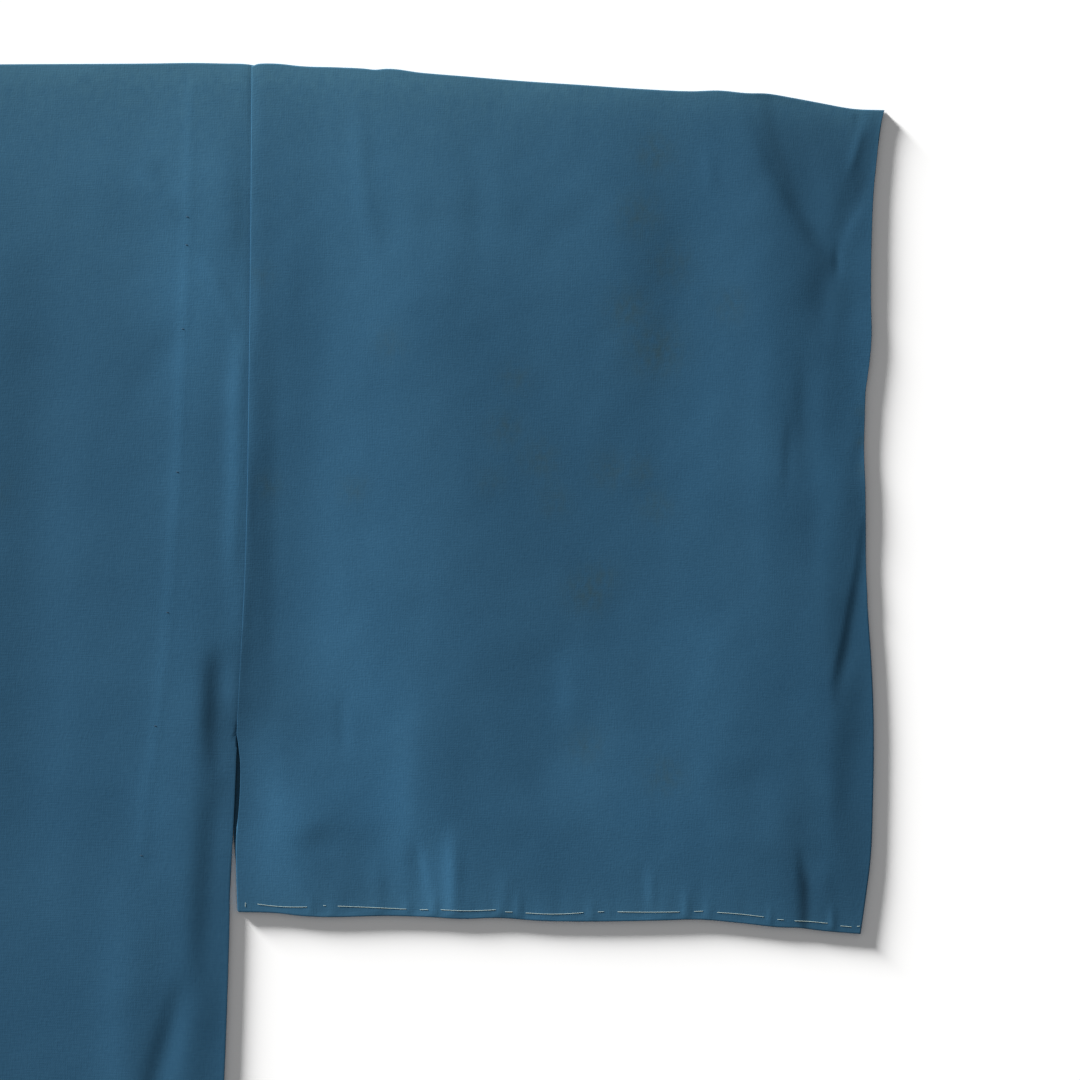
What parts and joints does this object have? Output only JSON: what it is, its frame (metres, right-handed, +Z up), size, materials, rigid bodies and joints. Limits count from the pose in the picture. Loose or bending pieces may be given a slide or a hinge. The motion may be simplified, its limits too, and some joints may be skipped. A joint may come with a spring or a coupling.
{
  "type": "juban",
  "caption": "Plain silk under-robe laid out flat, front up, with wide square sleeves, a straight body open down the front and a folded collar band to the hem.",
  "frame": {"origin": "under the middle of the garment, on the plane that it lies on", "axes": "+Z up out of the surface, +Y from the hem towards the collar, +X towards the wearer's left sleeve"},
  "size_m": [1.3718, 1.3487, 0.0057],
  "materials": {
    "silk": "plain-woven silk, soft low sheen, faded a little along the folds, with faint stains",
    "collar_silk": "the same plain-woven silk, folded double",
    "basting_thread": "soft matt off-white cotton thread"
  },
  "bodies": {
    "root": {"body_left": "silk", "body_right": "silk", "sleeve_left": "silk", "sleeve_right": "silk", "collar": "collar_silk"}
  },
  "joints": []
}
